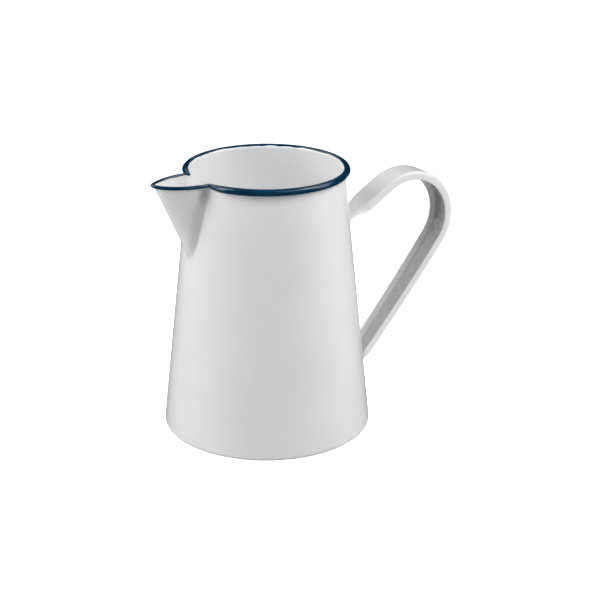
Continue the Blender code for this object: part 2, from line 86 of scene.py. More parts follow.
# Spout and its hem; levels run from 0 at the keel's foot to 1 at the rim
SPOUT_HALF_WIDTH = 0.0141
SPOUT_LOW_HEIGHT = 0.1254
SPOUT_WIDTH_POWER = 0.45
SPOUT_ROOT_ROUND = 0.009
SPOUT_ROOT_PULL = 0.57
SPOUT_SWELL = 0.12
SPOUT_FOLD_RADIUS = 0.0030
SPOUT_FOLD_SHARE = 0.43
SPOUT_WIDEST_FOLD = 0.7
KEEL_SETBACK = 0.0008
HEM_RADIUS = 0.0012
SPOUT_REACH = -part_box("spout_hem")[0].x - HEM_RADIUS
HEM_ROOT_HEIGHT = ROLL_HEIGHT
HEM_DIP = 0.0002
HEM_TIP_RISE = 0.0011
HEM_PULL = (-0.0675, 0.0160)
HEM_TIP_PULL = 0.0037
HEM_NUDGE = 0.001
FLARE_LEVEL = 0.93
FLARE_RUN = 0.3

# Where the rim and the spout's hem meet, on the +Y side
JUNCTION_RADIUS = MOUTH_RADIUS - SHEET + HEM_RADIUS
JUNCTION_Y = SPOUT_HALF_WIDTH + HEM_RADIUS - SHEET
JUNCTION = np.array((-math.sqrt(JUNCTION_RADIUS**2 - JUNCTION_Y**2), JUNCTION_Y))
JUNCTION_ANGLE = math.atan2(JUNCTION_Y, -JUNCTION[0])
MITRE_ROOM = 0.0016

# Grid of the wall and the spout; a band of rows is its last level and its number of rows
WALL_COLUMNS = 84
SPOUT_COLUMNS = 40
WALL_CROWDING = 0.51
SPOUT_CROWDING = 1.25
FAN_WIDTH = 0.012
FAN_DEPTH = 0.5
ROW_BANDS = ((-0.4, 16), (-0.1, 10), (0.2, 30))
SPOUT_ROWS = 45
ROWS_PAST_TOP = (1.02, 1.1, 5)
COLUMNS_PAST_ROOT = 9
LEVEL_BELOW_KEEL = 0.09
FILLET_SPREAD = 0.0013
FILLET_REACH = 0.0055
POINTS_AT_A_TIME = 500

# Curl of the rim, with the foot that it ends in, and how finely the rim and the hem are cut
ROLL_TAPER_POWER = 0.55
ROLL_THINNEST_SHARE = 0.55
CURL_TUCK = math.radians(12.0)
CURL_FOOT_DROP = 0.0006
CURL_KNEE = (0.00015, 0.0001)
CURL_FOOT_GAP = 0.00003
CURL_STEPS = 32
CURL_FOOT_STEPS = 4
HOLLOW_STEPS = 19
RIM_STEPS = 300
HEM_STEPS = 60
HEM_FIRST = 0.03
HEM_SIDES = 24

# Handle; its points are (x, z), and heights are above the base
BOW_CENTRE = np.array((0.1085, 0.1277))
BOW_RADIUS = 0.0344
UPPER_LEG_ANGLE = math.radians(33.6)
LOWER_LEG_ANGLE = math.radians(51.5)
LOWER_LEG_BOW = 0.0010
STRAP_WIDTH = 0.0200
LOWER_STRAP_WIDTH = 0.0176
STRAP_TAPER_HEIGHTS = (0.030, 0.105)
FLANGE_DEPTH = 0.0058
STRAP_CORNER = 0.0022
LEAST_LIP = 0.0002
UPPER_FOOT_END = 0.1135
LOWER_FOOT_END = 0.0095
UPPER_FOOT_BEND = 0.0070
LOWER_FOOT_BEND = 0.0100
UPPER_RUN_OUT = 0.0160
LOWER_RUN_OUT = 0.0100
FOOT_WRAP_RUN = 0.0060
FOOT_ROUNDING = 0.0060
FOOT_END_WIDTH = 0.45
UPPER_FOOT_STEPS = 26
LOWER_FOOT_STEPS = 22
UPPER_LEG_STEPS = 36
LOWER_LEG_STEPS = 60
BEND_STEPS = 16
BOW_STEPS = 72
WEB_STEPS = 8
CORNER_STEPS = 8
LIP_STEPS = 7
SPOT_SPACING = 0.0100
SPOT_HEIGHTS = (0.1205, 0.0162)
DENT_RADIUS = 0.0027
DENT_DEPTH = 0.00035
DENT_REACH = (0.6 * SHEET, 2.0 * SHEET)

# Painted shade on the white, as shares from 0 to 1 with their places and reaches
# Painted shade in the crease under the hem's roots, where the hem shadows the spout
CREASE_SHADE_PLACE = np.array((JUNCTION[0] - 0.0030, JUNCTION_Y, ROLL_HEIGHT - 0.0062))
CREASE_SHADE_SIZE = np.array((0.0034, 0.0060, 0.0060))
CREASE_SHADE = 0.6
# Painted shade along the base's bottom edge, where it curves under towards the floor
BASE_EDGE_SHADE = 0.8
BASE_EDGE_SHADE_HEIGHT = 0.0014
# Painted shade on the floor of the handle's channel, darkest at one place on the bow
SHADE_ON_WEB = 0.32
SHADE_ON_BOW = 0.72
SHADE_LEAN = 0.60
SHADE_REACH = 0.026
SHADE_CORNER_TURN = 1.15
SHADE_CORNER_POWER = 0.7
DARKEST_SHADE_ANGLE = 0.17
DARKEST_SHADE_POINT = BOW_CENTRE + BOW_RADIUS * np.array(
    (math.cos(DARKEST_SHADE_ANGLE), math.sin(DARKEST_SHADE_ANGLE))
)

# Colours, as reflectances
WHITE = (0.925, 0.925, 0.920)
WHITE_COOL = (0.895, 0.900, 0.900)
# Grey of the painted shade in the spout's crease, in the handle's channel and along the base's bottom
# edge
WHITE_IN_PAINTED_SHADE = (0.27, 0.28, 0.27)
GROUND_COAT = (0.05, 0.055, 0.06)
BLUE = (0.003, 0.045, 0.096)
BLUE_DEEP = (0.002, 0.029, 0.066)
STEEL = (0.42, 0.41, 0.40)
RUST = (0.20, 0.13, 0.09)

# Enamel: waves and specks per metre, and sizes in metres
NOISE_RANGE = (0.3, 0.7)
SHEET_WAVES = 45.0
GLAZE_WAVES = 320.0
GLAZE_WAVE_SHARE = 0.12
WHITE_WAVE_HEIGHT = 0.00004
BLUE_WAVE_HEIGHT = 0.00003
SPECK_SCALE = 38.0
SPECK_RADIUS = 0.0004
SPECK_SHARE = 0.05
BLUE_BORDER_ANGLE = math.radians(144.0)
BORDER_WANDER = 0.0016
BORDER_EDGE = (0.0007, 0.0009)
BLUE_ON_HEM = 0.002
CREASE_ANGLE = math.radians(38.0)

# Camera: its angles, where it stands from the jug's axis, and its lens in millimetres
CAMERA_AZIMUTH = math.radians(-29.5)
CAMERA_ELEVATION = math.radians(21.086)
CAMERA_DISTANCE = 1.10686
CAMERA_SIDE = 0.009642
CAMERA_HEIGHT = 0.08593
SENSOR_WIDTH = 36.0
LENS = 98.82
SHIFT_X = 0.0317

# Studio
FLOOR_SIZE = 4.0
FLOOR_SHADE = 0.8
FLOOR_GLOW = 1.0
BOUNCE_SHADE = 0.7
BOUNCE_LEVEL = -0.0002
BACKDROP_SIZE = 5.0
JUG_MIDDLE = (0.02, 0.0, 0.09)
SOFTBOX_DISTANCE = 1.6
# name, degrees to the right of the camera, degrees up, width and height, radiance
SOFTBOXES = (
    ("left_side", -95.0, 30.0, (0.8, 0.8), 2.2),
    ("left_low", -68.0, 12.0, (0.7, 0.7), 5.0),
    ("left_high", -68.0, 42.0, (0.6, 0.6), 6.0),
    ("right_front", 42.0, 45.0, (1.0, 0.9), 1.7),
    ("right_low", 80.0, 12.0, (0.7, 0.7), 3.7),
    ("right", 68.0, 42.0, (0.5, 0.5), 6.3),
    ("right_side", 90.0, 45.0, (1.0, 0.9), 2.6),
    ("back_left", -135.0, 45.0, (1.0, 0.9), 0.9),
    ("back", 180.0, 45.0, (1.0, 0.9), 0.6),
)
MOUTH_LIGHT = ("mouth", 10.0, 66.0, (0.02, 0.02), 12.0)
MOUTH_LIGHT_DISTANCE = 0.6
MOUTH_LIGHT_SPREAD = math.radians(10.0)
MOUTH_MIDDLE = (0.0, 0.0, 0.178)


# Helpers


def smooth_step(value):
    value = np.clip(value, 0.0, 1.0)
    return value * value * (3.0 - 2.0 * value)


def cubic(start, first, second, end, t):
    """Point of a cubic curve at t from 0 to 1."""
    r = 1.0 - t
    return r**3 * start + 3 * r * r * t * first + 3 * r * t * t * second + t**3 * end


def unit(vector):
    return vector / np.linalg.norm(vector)


def unit_rows(vectors):
    return vectors / np.linalg.norm(vectors, axis=-1, keepdims=True)


def wall_radius(height):
    """Outside radius of the tapering wall at a height."""
    return BASE_RADIUS - WALL_SLOPE * (height - CORNER_RADIUS)


def add_piece(name, vertices, faces, material, nodes, slot):
    """A closed piece that stands for CAD nodes, in the material given; slot is not used."""
    mesh = bpy.data.meshes.new(name)
    mesh.from_pydata([tuple(v) for v in vertices], [], faces)
    mesh.validate()
    mesh.shade_smooth()
    mesh.set_sharp_from_angle(angle=CREASE_ANGLE)
    mesh.materials.append(material)
    piece = bpy.data.objects.new(name, mesh)
    bpy.context.scene.collection.objects.link(piece)
    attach(piece, "root")
    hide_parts(*nodes)
    return piece


def set_attribute(piece, name, values):
    attribute = piece.data.attributes.new(name, "FLOAT", "POINT")
    attribute.data.foreach_set("value", np.asarray(values, np.float32).ravel())


def sheet_solid(outer, inner, mask):
    """Vertices and faces of a closed sheet between two grids of points, over the cells in mask.

    Grids are rows by columns, and the columns close into a ring.
    """
    rows, columns = outer.shape[:2]
    count = rows * columns

    def corner(row, column, side):
        return side * count + row * columns + column % columns

    faces = []
    for row in range(rows - 1):
        for column in range(columns):
            if not mask[row, column]:
                continue
            a, b = (row, column), (row, column + 1)
            c, d = (row + 1, column + 1), (row + 1, column)
            faces.append(tuple(corner(*p, 0) for p in (a, b, c, d)))
            faces.append(tuple(corner(*p, 1) for p in (d, c, b, a)))
            neighbours = (
                (row - 1, column, a, b),
                (row, column + 1, b, c),
                (row + 1, column, c, d),
                (row, column - 1, d, a),
            )
            for other_row, other_column, start, end in neighbours:
                inside = 0 <= other_row < rows - 1
                if inside and mask[other_row, other_column % columns]:
                    continue
                faces.append(
                    (corner(*end, 0), corner(*start, 0), corner(*start, 1), corner(*end, 1))
                )
    points = np.concatenate([outer.reshape(-1, 3), inner.reshape(-1, 3)])
    used = np.unique(np.array([i for face in faces for i in face]))
    renumber = np.zeros(len(points), int)
    renumber[used] = np.arange(len(used))
    return points[used], [tuple(int(renumber[i]) for i in face) for face in faces]


def tube_solid(sections):
    """Vertices and faces of a body through closed sections, an array of sections by points."""
    count, around = sections.shape[:2]
    faces = []
    for i in range(count - 1):
        for j in range(around):
            k = (j + 1) % around
            faces.append((i * around + j, i * around + k, (i + 1) * around + k, (i + 1) * around + j))
    faces.append(tuple(reversed(range(around))))
    faces.append(tuple(range((count - 1) * around, count * around)))
    return sections.reshape(-1, 3), faces


# Materials


def node(tree, kind, **settings):
    made = tree.nodes.new(kind)
    for name, value in settings.items():
        setattr(made, name, value)
    return made


def new_material(name):
    """A material with its node tree and shader."""
    material = bpy.data.materials.new(name)
    material.use_nodes = True
    tree = material.node_tree
    return material, tree, tree.nodes["Principled BSDF"]


def noise(tree, scale, detail=2.0):
    """Noise over the object's own place, about 0.5 with a spread of some 0.2; scale is per metre."""
    place = node(tree, "ShaderNodeTexCoord")
    made = node(tree, "ShaderNodeTexNoise")
    made.inputs["Scale"].default_value = scale
    made.inputs["Detail"].default_value = detail
    tree.links.new(place.outputs["Object"], made.inputs["Vector"])
    return made.outputs["Fac"]


def spread(tree, value, low, high, to_low, to_high):
    """Value mapped smoothly from low..high to to_low..to_high, held at both ends."""
    made = node(tree, "ShaderNodeMapRange", interpolation_type="SMOOTHSTEP")
    tree.links.new(value, made.inputs["Value"])
    names = ("From Min", "From Max", "To Min", "To Max")
    for name, number in zip(names, (low, high, to_low, to_high)):
        made.inputs[name].default_value = number
    return made.outputs["Result"]


def drift(tree, scale, to_low, to_high, detail=2.0):
    """Value that drifts over the surface between two others."""
    return spread(tree, noise(tree, scale, detail), *NOISE_RANGE, to_low, to_high)


def blend(tree, share, first, second):
    """Colour between two, each a colour or an output."""
    made = node(tree, "ShaderNodeMix", data_type="RGBA")
    tree.links.new(share, made.inputs["Factor"])
    for name, colour in (("A", first), ("B", second)):
        socket = next(s for s in made.inputs if s.name == name and s.type == "RGBA")
        if isinstance(colour, tuple):
            socket.default_value = (*colour, 1.0)
        else:
            tree.links.new(colour, socket)
    return next(s for s in made.outputs if s.type == "RGBA")


def attribute(tree, name):
    return node(tree, "ShaderNodeAttribute", attribute_name=name).outputs["Fac"]


def add_up(tree, *terms):
    """Sum of (output, factor) pairs."""
    total = None
    for value, factor in terms:
        made = node(tree, "ShaderNodeMath", operation="MULTIPLY_ADD")
        tree.links.new(value, made.inputs[0])
        made.inputs[1].default_value = factor
        made.inputs[2].default_value = 0.0
        if total is not None:
            tree.links.new(total, made.inputs[2])
        total = made.outputs[0]
    return total


def multiply(tree, first, second, clamp=False):
    made = node(tree, "ShaderNodeMath", operation="MULTIPLY", use_clamp=clamp)
    tree.links.new(first, made.inputs[0])
    tree.links.new(second, made.inputs[1])
    return made.outputs[0]


def orange_peel(tree, shader, height):
    """The soft waves of fired enamel: broad ones from the sheet and fine ones from the glaze."""
    bump = node(tree, "ShaderNodeBump")
    bump.inputs["Distance"].default_value = height
    sheet = noise(tree, SHEET_WAVES, detail=1.0)
    glaze = noise(tree, GLAZE_WAVES, detail=1.0)
    waves = add_up(tree, (sheet, 1.0), (glaze, GLAZE_WAVE_SHARE))
    tree.links.new(waves, bump.inputs["Height"])
    tree.links.new(bump.outputs["Normal"], shader.inputs["Normal"])


def specks(tree):
    """1 in a rare speck where the fired coat let the dark ground show, 0 elsewhere."""
    place = node(tree, "ShaderNodeTexCoord")
    cells = node(tree, "ShaderNodeTexVoronoi")
    cells.inputs["Scale"].default_value = SPECK_SCALE
    tree.links.new(place.outputs["Object"], cells.inputs["Vector"])
    edge = SPECK_RADIUS * SPECK_SCALE
    dot = spread(tree, cells.outputs["Distance"], 0.6 * edge, edge, to_low=1.0, to_high=0.0)
    split = node(tree, "ShaderNodeSeparateColor")
    tree.links.new(cells.outputs["Color"], split.inputs["Color"])
    lot = split.outputs["Red"]
    few = spread(tree, lot, SPECK_SHARE, SPECK_SHARE + 0.001, to_low=1.0, to_high=0.0)
    return multiply(tree, dot, few)


def white_tone(tree):
    """White enamel, a little uneven, greyed by painted shade where the share of painted shade is high,
    with a few specks.
    """
    clouds = noise(tree, scale=28.0, detail=3.0)
    cool = spread(tree, clouds, low=0.35, high=0.7, to_low=0.0, to_high=1.0)
    tone = blend(tree, cool, WHITE, WHITE_COOL)
    patchy = drift(tree, scale=260.0, to_low=0.8, to_high=1.2, detail=3.0)
    # Painted shade: the white turns grey by the share of painted shade on the vertices
    shade_share = multiply(tree, attribute(tree, "painted_shade"), patchy, clamp=True)
    tone = blend(tree, shade_share, tone, WHITE_IN_PAINTED_SHADE)
    return blend(tree, specks(tree), tone, GROUND_COAT)


def white_enamel():
    material, tree, shader = new_material("white_enamel_coat")
    tree.links.new(white_tone(tree), shader.inputs["Base Color"])
    gloss = drift(tree, scale=60.0, to_low=0.17, to_high=0.24)
    tree.links.new(gloss, shader.inputs["Roughness"])
    orange_peel(tree, shader, WHITE_WAVE_HEIGHT)
    return material


def blue_enamel():
    """Blue over the rolled edges, with the body's white running up to its hand-dipped border."""
    material, tree, shader = new_material("blue_enamel_coat")
    depth = drift(tree, scale=90.0, to_low=0.0, to_high=1.0, detail=3.0)
    blue = blend(tree, depth, BLUE, BLUE_DEEP)
    border = attribute(tree, "blue_past_border")
    wander = add_up(tree, (border, 1.0), (noise(tree, scale=120.0), BORDER_WANDER))
    past = spread(tree, wander, *BORDER_EDGE, to_low=0.0, to_high=1.0)
    tree.links.new(blend(tree, past, white_tone(tree), blue), shader.inputs["Base Color"])
    gloss = drift(tree, scale=200.0, to_low=0.05, to_high=0.10)
    tree.links.new(gloss, shader.inputs["Roughness"])
    orange_peel(tree, shader, BLUE_WAVE_HEIGHT)
    return material


def bare_steel():
    """The drawn wire inside the rim, dull and a little rusty."""
    material, tree, shader = new_material("bare_steel_wire")
    shader.inputs["Metallic"].default_value = 1.0
    patches = noise(tree, scale=300.0, detail=4.0)
    rust = spread(tree, patches, low=0.5, high=0.7, to_low=0.0, to_high=1.0)
    tree.links.new(blend(tree, rust, STEEL, RUST), shader.inputs["Base Color"])
    gloss = drift(tree, scale=500.0, to_low=0.35, to_high=0.6)
    tree.links.new(gloss, shader.inputs["Roughness"])
    return material


# Body wall and spout, one grid over both


def spout_root_half_width(level):
    """Half the width of the spout where it meets the wall; below its foot the columns fan out."""
    share = (np.maximum(level, 0.0) + SPOUT_ROOT_ROUND) / (1.0 + SPOUT_ROOT_ROUND)
    fan = FAN_WIDTH * smooth_step(-level / FAN_DEPTH)
    return SPOUT_HALF_WIDTH * share**SPOUT_WIDTH_POWER + fan


def hem_height(t):
    dip = HEM_ROOT_HEIGHT - HEM_DIP
    return cubic(HEM_ROOT_HEIGHT, HEM_ROOT_HEIGHT, dip, HEM_ROOT_HEIGHT + HEM_TIP_RISE, t)


def hem_line(t):
    """Plan position of the hem's centre line, from the rim's centre line at t 0 to the tip at t 1."""
    x = cubic(JUNCTION[0], HEM_PULL[0], -SPOUT_REACH, -SPOUT_REACH, t)
    y = cubic(JUNCTION[1], HEM_PULL[1], HEM_TIP_PULL, 0.0, t)
    return x, y


def round_points(radius, angle, height):
    """Points at a radius about the axis, one for each angle."""
    return np.stack([radius * np.cos(angle), radius * np.sin(angle), np.full(len(angle), height)], 1)


def spout_row(level, height, half_width, t):
    """Points of one level of the spout, from its root to the keel; the top ones flare to the hem."""
    root_x = -math.sqrt(wall_radius(height) ** 2 - half_width**2)
    low = wall_radius(SPOUT_LOW_HEIGHT)
    depth = low + level * (SPOUT_REACH - KEEL_SETBACK - low) + root_x
    fold = math.sqrt(2 * SPOUT_FOLD_RADIUS * SPOUT_FOLD_SHARE * depth / 3)
    fold = min(fold, half_width * SPOUT_WIDEST_FOLD)
    bulge = 1.0 + SPOUT_SWELL * min(depth / half_width, 1.0)
    x = cubic(root_x, root_x - SPOUT_ROOT_PULL * depth, root_x - depth, root_x - depth, t)
    y = cubic(half_width, half_width * bulge, fold, 0.0, t)
    flare = smooth_step((level - FLARE_LEVEL) / (1.0 - FLARE_LEVEL)) * smooth_step(t / FLARE_RUN)
    hem_x, hem_y = hem_line(t)
    ahead, behind = np.stack(hem_line(t + HEM_NUDGE), 1), np.stack(hem_line(t - HEM_NUDGE), 1)
    slope = unit_rows(ahead - behind)
    inset = HEM_RADIUS - SHEET
    x += flare * (hem_x - slope[:, 1] * inset - x)
    y += flare * (hem_y + slope[:, 0] * inset - y)
    z = SPOUT_LOW_HEIGHT + level * (hem_height(t) - SPOUT_LOW_HEIGHT)
    return np.stack([x, y, z], 1)


def half_row(level):
    """Points of one level, from the handle's side round to the keel, on the +Y side."""
    height = SPOUT_LOW_HEIGHT + level * (ROLL_HEIGHT - SPOUT_LOW_HEIGHT)
    radius = wall_radius(height)
    half_width = spout_root_half_width(level)
    root_angle = math.pi - math.asin(half_width / radius)
    q = np.linspace(0.0, 1.0, WALL_COLUMNS + 1)
    crowded = (1.0 - WALL_CROWDING) * q + WALL_CROWDING * (1 - (1 - q) ** 2)
    wall = round_points(radius, root_angle * crowded, height)

    t = np.linspace(0.0, 1.0, SPOUT_COLUMNS + 1)[1:] ** SPOUT_CROWDING
    if level <= 0.0:
        front = round_points(radius, root_angle + (math.pi - root_angle) * t, height)
    else:
        front = spout_row(level, height, half_width, t)
    front[-1, 1] = 0.0
    return np.concatenate([wall, front])


def mirrored(points):
    return points * np.array((1.0, -1.0, 1.0))


def mirror_ring(half):
    """A closed ring of columns from the half on the +Y side."""
    return np.concatenate([half, mirrored(half[:, -2:0:-1])], axis=1)


def soften_crease(grid, crease, blur, reach):
    """Round a grid near the crease points: each point there moves to the area's local average."""
    flat = grid.reshape(-1, 3)
    near = np.min(np.linalg.norm(flat[:, None, :] - crease[None], axis=2), axis=1)
    along = np.linalg.norm(np.roll(grid, -1, 1) - np.roll(grid, 1, 1), axis=2)
    up = np.linalg.norm(np.gradient(grid, axis=0), axis=2)
    area = (along * up).ravel()
    movable = np.flatnonzero(near < reach)
    source = np.flatnonzero(near < reach + 4 * blur)
    result = flat.copy()
    for chunk in np.array_split(movable, max(1, len(movable) // POINTS_AT_A_TIME)):
        gap = np.linalg.norm(flat[chunk][:, None] - flat[source][None], axis=2)
        weight = np.exp(-0.5 * (gap / blur) ** 2) * area[source]
        mean = weight @ flat[source] / weight.sum(1)[:, None]
        share = 1.0 - smooth_step((near[chunk] - 0.5 * reach) / (0.5 * reach))
        result[chunk] += share[:, None] * (mean - flat[chunk])
    return result.reshape(grid.shape)


def grid_normals(grid):
    along = np.roll(grid, -1, 1) - np.roll(grid, 1, 1)
    return unit_rows(np.cross(along, np.gradient(grid, axis=0)))


def body_levels():
    """Levels of the rows, from the pan's joint to past the top; they are closest at the spout's foot."""
    start = (PAN_JOINT - SPOUT_LOW_HEIGHT) / (ROLL_HEIGHT - SPOUT_LOW_HEIGHT)
    bands = []
    for end, rows in ROW_BANDS:
        bands.append(np.linspace(start, end, rows, endpoint=False))
        start = end
    bands.append(np.linspace(start, 1.0, SPOUT_ROWS))
    bands.append(np.linspace(*ROWS_PAST_TOP))
    return np.concatenate(bands)


def wall_and_spout_grids():
    """Outer and inner grid of points, and the levels of their rows."""
    levels = body_levels()
    top = int(np.argmin(np.abs(levels - 1.0)))
    half = np.stack([half_row(level) for level in levels])
    crease = half[levels >= 0.0, WALL_COLUMNS]
    crease = np.concatenate([crease, mirrored(crease)])
    grid = soften_crease(mirror_ring(half), crease, FILLET_SPREAD, FILLET_REACH)
    inner = grid - SHEET * grid_normals(grid)
    grid, inner = grid[: top + 1], inner[: top + 1]
    along = inner[-1] - inner[-2]
    inner[-1] += along * ((grid[-1, :, 2] - inner[-1, :, 2]) / along[:, 2])[:, None]
    inner[0, :, 2] = grid[0, :, 2]
    return grid, inner, levels[: top + 1]


def paint_crease_shade(piece):
    """Painted shade in the creases under the hem's roots, on the outer half of the vertices only."""
    points = np.array([v.co for v in piece.data.vertices])
    points[:, 1] = np.abs(points[:, 1])
    gap = (points - CREASE_SHADE_PLACE) / CREASE_SHADE_SIZE
    shade_share = CREASE_SHADE * np.exp(-np.sum(gap * gap, axis=1))
    shade_share[len(shade_share) // 2 :] = 0.0
    set_attribute(piece, "painted_shade", shade_share)


def make_body_and_spout(enamel):
    grid, inner, levels = wall_and_spout_grids()
    first = WALL_COLUMNS - COLUMNS_PAST_ROOT
    last = grid.shape[1] - first
    low_row = int(np.argmin(np.abs(levels + LEVEL_BELOW_KEEL)))
    spout_cells = np.zeros((len(grid) - 1, grid.shape[1]), bool)
    spout_cells[low_row:, first:last] = True
    add_piece(
        "body_wall_enamel",
        *sheet_solid(grid, inner, ~spout_cells),
        enamel,
        ("body_wall", "side_seam_weld"),
        "white_enamel",
    )
    spout = add_piece(
        "spout_enamel",
        *sheet_solid(grid, inner, spout_cells),
        enamel,
        ("spout_shell", "spout_seam_weld"),
        "white_enamel",
    )
    # Painted shade in the creases under the hem's roots
    paint_crease_shade(spout)


# Base pan


def turned_solid(outline, steps):
    """Vertices and faces of an outline that starts and ends on the axis, turned about it."""
    vertices = [(0.0, 0.0, outline[0][1])]
    for radius, height in outline[1:-1]:
        for step in range(steps):
            angle = math.tau * step / steps
            vertices.append((radius * math.cos(angle), radius * math.sin(angle), height))
    vertices.append((0.0, 0.0, outline[-1][1]))
    faces = []
    last = len(vertices) - 1
    rings = len(outline) - 2
    for step in range(steps):
        after = (step + 1) % steps
        faces.append((0, 1 + step, 1 + after))
        for ring in range(rings - 1):
            a, b = 1 + ring * steps, 1 + (ring + 1) * steps
            faces.append((a + step, b + step, b + after, a + after))
        end = 1 + (rings - 1) * steps
        faces.append((end + step, last, end + after))
    return vertices, faces


def arc(centre, radius, start, end, steps):
    angles = np.radians(np.linspace(start, end, steps + 1))
    return [(centre[0] + radius * math.cos(a), centre[1] + radius * math.sin(a)) for a in angles]


def pan_outline():
    """(radius, height) of the pan, its flange and weld, and the corner under the wall."""
    inside = wall_radius(PAN_INSIDE_LEVEL) - SHEET
    corner = (inside - SHEET - PAN_INNER_INSET, SHEET + PAN_INNER_CORNER)
    weld = (inside - PAN_WELD_INSET, PAN_WELD_LEVEL)
    foot = (BASE_RADIUS - CORNER_RADIUS, CORNER_RADIUS)
    outline = [(radius, SHEET) for radius in (0.0, *PAN_RINGS)]
    outline += arc(corner, PAN_INNER_CORNER, start=-90.0, end=0.0, steps=8)
    outline += [(inside - PAN_WELD_FOOT_INSET, PAN_WELD_FOOT_LEVEL)]
    outline += arc(weld, PAN_WELD_RADIUS, start=170.0, end=60.0, steps=4)
    outline += [(wall_radius(PAN_WELD_TOP_LEVEL - PAN_WELD_SINK) - SHEET, PAN_WELD_TOP_LEVEL)]
    outline += [(wall_radius(PAN_JOINT) - SHEET, PAN_JOINT)]
    outline += [(wall_radius(PAN_JOINT), PAN_JOINT)]
    outline += arc(foot, CORNER_RADIUS, start=6.0, end=-90.0, steps=12)
    outline += [(radius, 0.0) for radius in (*reversed(PAN_RINGS), 0.0)]
    return outline


def make_base(enamel):
    vertices, faces = turned_solid(pan_outline(), PAN_STEPS)
    base = add_piece(
        "base_pan_enamel", vertices, faces, enamel, ("base_pan", "base_seam_weld"), "white_enamel"
    )
    # Painted shade along the bottom edge of the base, darkest at the floor
    base_edge_shade = [BASE_EDGE_SHADE * (1.0 - smooth_step(height / BASE_EDGE_SHADE_HEIGHT)) for _, _, height in vertices]
    set_attribute(base, "painted_shade", base_edge_shade)


# Rim and spout hem


def roll_radius_at(angle_to_spout):
    """The roll thins towards the spout, down to the hem's size."""
    share = smooth_step((angle_to_spout - JUNCTION_ANGLE) / ROLL_TAPER_ANGLE) ** ROLL_TAPER_POWER
    return HEM_RADIUS + (ROLL_RADIUS - HEM_RADIUS) * share


def mitre(section, along, other_along, sign):
    """Slide a section's points along the tube onto the plane that halves the turn at the junction."""
    corner = np.array((JUNCTION[0], sign * JUNCTION[1], 0.0))
    normal = unit(along + other_along)
    gap = (corner - section * np.array((1.0, 1.0, 0.0))) @ normal
    return section + (gap / (along @ normal))[:, None] * along


def junction_directions(sign):
    """Directions of the rim, towards the spout, and of the hem, towards its tip, at the junction."""
    rim = unit(np.array((-JUNCTION[1], sign * JUNCTION[0], 0.0)))
    hem = unit(np.array((HEM_PULL[0] - JUNCTION[0], sign * (HEM_PULL[1] - JUNCTION[1]), 0.0)))
    return rim, hem


def curl_section(radius):
    """(outward, up, blue) of a curl about its centre; blue is the distance past the paint's border.

    The outside runs over the top from the inner face of the wall and ends in a foot that leans
    against the wall's outside; the inside comes back round the hollow.
    """
    wall = radius - SHEET
    last = -math.acos(-wall / radius) + CURL_TUCK
    points = []
    for angle in np.linspace(math.pi, last, CURL_STEPS + 1):
        blue = radius * (BLUE_BORDER_ANGLE - angle)
        points.append((radius * math.cos(angle), radius * math.sin(angle), blue))
    x, z, blue = points[-1]
    knee_x, knee_z = -wall - WALL_SLOPE * z + CURL_KNEE[0], z - CURL_KNEE[1]
    foot_z = z - CURL_FOOT_DROP
    foot_x = -wall - WALL_SLOPE * foot_z
    for step in range(1, CURL_FOOT_STEPS + 1):
        t = step / CURL_FOOT_STEPS
        r = 1.0 - t
        foot = (
            r * r * x + 2 * r * t * knee_x + t * t * foot_x,
            r * r * z + 2 * r * t * knee_z + t * t * foot_z,
            blue,
        )
        points.append(foot)
    hollow = radius - min(ROLL_SHEET, ROLL_THINNEST_SHARE * radius)
    first = -math.acos((CURL_FOOT_GAP - wall) / hollow)
    for angle in np.linspace(first, math.pi, HOLLOW_STEPS + 1):
        points.append((hollow * math.cos(angle), hollow * math.sin(angle), blue))
    return points


def make_rim(enamel):
    end = math.pi - JUNCTION_ANGLE
    reach = end - MITRE_ROOM / JUNCTION_RADIUS
    sections, blue = [], []
    for azimuth in (-end, *np.linspace(-reach, reach, RIM_STEPS + 1), end):
        radius = roll_radius_at(math.pi - abs(azimuth))
        section = []
        for out, up, past_border in curl_section(radius):
            place = MOUTH_RADIUS - SHEET + radius + out
            section.append((place * math.cos(azimuth), place * math.sin(azimuth), ROLL_HEIGHT + up))
            blue.append(past_border)
        sections.append(section)
    sections = np.array(sections)
    for index, sign in ((0, -1.0), (-1, 1.0)):
        sections[index] = mitre(sections[index], *junction_directions(sign), sign)
    vertices, faces = tube_solid(sections)
    rim = add_piece("rim_roll_enamel", vertices, faces, enamel, ("rim_roll",), "blue_enamel")
    set_attribute(rim, "blue_past_border", blue)


def make_hem(enamel):
    t = np.concatenate([[0.0], np.linspace(HEM_FIRST, 1.0, HEM_STEPS + 1)])
    half = np.stack([*hem_line(t), hem_height(t)], 1)
    line = np.concatenate([half, mirrored(half[-2::-1])])
    along = unit_rows(np.gradient(line, axis=0))
    side = unit_rows(np.cross(along, np.array((0.0, 0.0, 1.0))))
    over = np.cross(side, along)
    angles = np.linspace(0.0, math.tau, HEM_SIDES, endpoint=False)[None, :, None]
    ring = side[:, None] * np.cos(angles) + over[:, None] * np.sin(angles)
    sections = line[:, None] + HEM_RADIUS * ring
    for index, sign in ((0, 1.0), (-1, -1.0)):
        rim_along, hem_along = junction_directions(sign)
        sections[index] = mitre(sections[index], hem_along, rim_along, sign)
    vertices, faces = tube_solid(sections)
    hem = add_piece("spout_hem_enamel", vertices, faces, enamel, ("spout_hem",), "blue_enamel")
    set_attribute(hem, "blue_past_border", np.full(len(vertices), BLUE_ON_HEM))


# Handle


def wall_line(height, offset):
    """Point beside the wall on the handle's side, as (x, z)."""
    return np.array((wall_radius(height), height)) + offset * WALL_NORMAL


def meet(point_a, along_a, point_b, along_b):
    gap = point_b - point_a
    share = (gap[0] * along_b[1] - gap[1] * along_b[0]) / (
        along_a[0] * along_b[1] - along_a[1] * along_b[0]
    )
    return point_a + along_a * share


